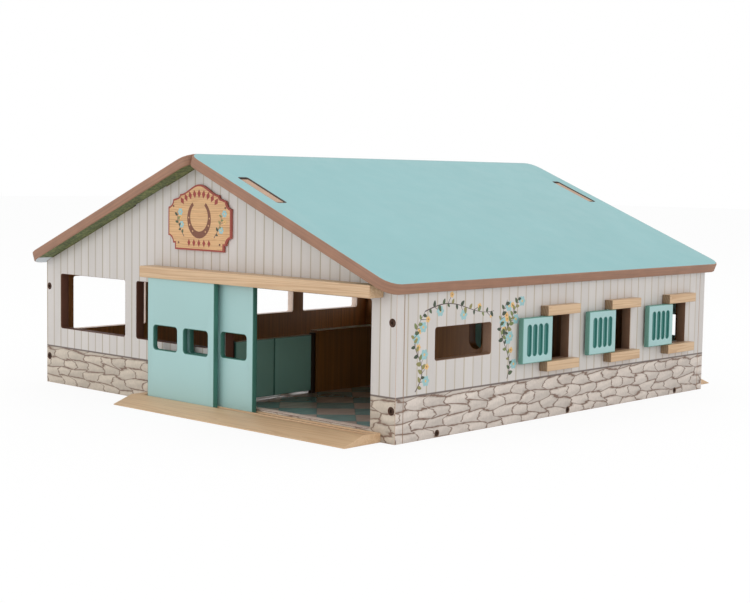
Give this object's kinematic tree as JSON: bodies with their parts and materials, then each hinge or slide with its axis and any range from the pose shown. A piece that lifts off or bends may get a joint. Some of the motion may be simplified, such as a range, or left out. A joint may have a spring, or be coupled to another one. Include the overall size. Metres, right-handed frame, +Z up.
{
  "type": "toy barn",
  "caption": "Wooden toy horse barn with printed board walls, sliding doors, hinged shutters, swing gates and a lift-off pitched roof.",
  "frame": {"origin": "on the floor, under the middle of the barn", "axes": "X across the barn with the doorways at +X, Y from the front gable (-Y) to the rear gable (+Y), +Z up"},
  "size_m": [0.6478, 0.73, 0.3029],
  "materials": {
    "printed_board": "fibreboard printed with pale vertical boards over fieldstone, satin lacquer",
    "floor_print": "fibreboard printed with a check floor, glossy lacquer",
    "teal_paint": "fibreboard with pale teal boards on its faces and dark brown cut edges",
    "pine": "natural pine, clear lacquer",
    "walnut_print": "fibreboard printed dark brown, raw upper edges",
    "sign_print": "tan print with a dark red border",
    "dark_steel": "dark browned steel",
    "stained_dowel": "dark stained dowel"
  },
  "bodies": {
    "barn": {"base_floor": "floor_print", "front_wall": "printed_board", "rear_wall": "printed_board", "left_wall": "printed_board", "right_wall": "printed_board", "front_door_rail": "pine", "rear_door_rail": "pine", "front_ramp": "pine", "rear_ramp": "pine", "shutter_head_1": "pine", "shutter_head_2": "pine", "shutter_head_3": "pine", "shutter_sill_1": "pine", "shutter_sill_2": "pine", "shutter_sill_3": "pine", "shutter_pin_1": "dark_steel", "shutter_pin_2": "dark_steel", "shutter_pin_3": "dark_steel", "sign_board": "sign_print", "aisle_partition": "walnut_print", "stall_screen_1": "walnut_print", "stall_screen_2": "walnut_print", "stall_screen_3": "walnut_print", "screw_front_left_low": "dark_steel", "screw_front_left_high": "dark_steel", "screw_front_right_low": "dark_steel", "screw_front_right_high": "dark_steel", "screw_rear_left_low": "dark_steel", "screw_rear_left_high": "dark_steel", "screw_rear_right_low": "dark_steel", "screw_rear_right_high": "dark_steel", "screw_floor_left_1": "dark_steel", "screw_floor_left_2": "dark_steel", "screw_floor_left_3": "dark_steel", "screw_floor_right_1": "dark_steel", "screw_floor_right_2": "dark_steel", "screw_floor_right_3": "dark_steel"},
    "front_door_outer": {"front_door_outer": "teal_paint"},
    "front_door_inner": {"front_door_inner": "teal_paint"},
    "rear_door_outer": {"rear_door_outer": "teal_paint"},
    "rear_door_inner": {"rear_door_inner": "teal_paint"},
    "roof_left": {"roof_left": "teal_paint"},
    "roof_right": {"roof_right": "teal_paint"},
    "shutter_1": {"shutter_1": "teal_paint"},
    "shutter_2": {"shutter_2": "teal_paint"},
    "shutter_3": {"shutter_3": "teal_paint"},
    "gate_1": {"stall_gate_1": "teal_paint", "gate_post_1": "stained_dowel"},
    "gate_2": {"stall_gate_2": "teal_paint", "gate_post_2": "stained_dowel"},
    "gate_3": {"stall_gate_3": "teal_paint", "gate_post_3": "stained_dowel"},
    "gate_4": {"stall_gate_4": "teal_paint", "gate_post_4": "stained_dowel"}
  },
  "joints": [
    {"name": "front_outer_slide", "type": "slide", "parent": "barn", "child": "front_door_outer", "axis": [1, 0, 0], "range_m": [-0.0065, 0.239]},
    {"name": "front_inner_slide", "type": "slide", "parent": "barn", "child": "front_door_inner", "axis": [1, 0, 0], "range_m": [-0.0615, 0.184]},
    {"name": "rear_outer_slide", "type": "slide", "parent": "barn", "child": "rear_door_outer", "axis": [1, 0, 0], "range_m": [-0.12, 0.1254]},
    {"name": "rear_inner_slide", "type": "slide", "parent": "barn", "child": "rear_door_inner", "axis": [1, 0, 0], "range_m": [-0.24, 0.0056]},
    {"name": "shutter_1_hinge", "type": "hinge", "parent": "barn", "child": "shutter_1", "pos_m": [0.31805, -0.051, 0.095], "axis": [0, 0, 1], "range_deg": [0, 180]},
    {"name": "shutter_2_hinge", "type": "hinge", "parent": "barn", "child": "shutter_2", "pos_m": [0.31805, 0.081, 0.095], "axis": [0, 0, 1], "range_deg": [0, 180]},
    {"name": "shutter_3_hinge", "type": "hinge", "parent": "barn", "child": "shutter_3", "pos_m": [0.31805, 0.213, 0.095], "axis": [0, 0, 1], "range_deg": [0, 180]},
    {"name": "gate_1_hinge", "type": "hinge", "parent": "barn", "child": "gate_1", "pos_m": [0.0333, -0.291, 0.045], "axis": [0, 0, -1], "range_deg": [-90, 90]},
    {"name": "gate_2_hinge", "type": "hinge", "parent": "barn", "child": "gate_2", "pos_m": [0.0333, -0.1563, 0.045], "axis": [0, 0, 1], "range_deg": [-90, 90]},
    {"name": "gate_3_hinge", "type": "hinge", "parent": "barn", "child": "gate_3", "pos_m": [0.0333, 0.1563, 0.045], "axis": [0, 0, -1], "range_deg": [-90, 90]},
    {"name": "gate_4_hinge", "type": "hinge", "parent": "barn", "child": "gate_4", "pos_m": [0.0333, 0.291, 0.045], "axis": [0, 0, 1], "range_deg": [-90, 90]},
    {"name": "roof_left_lift", "type": "slide", "parent": "barn", "child": "roof_left", "axis": [-0.3819, 0, 0.9242], "range_m": [0, 0.08]},
    {"name": "roof_right_lift", "type": "slide", "parent": "barn", "child": "roof_right", "axis": [0.3819, 0, 0.9242], "range_m": [0, 0.08]}
  ]
}
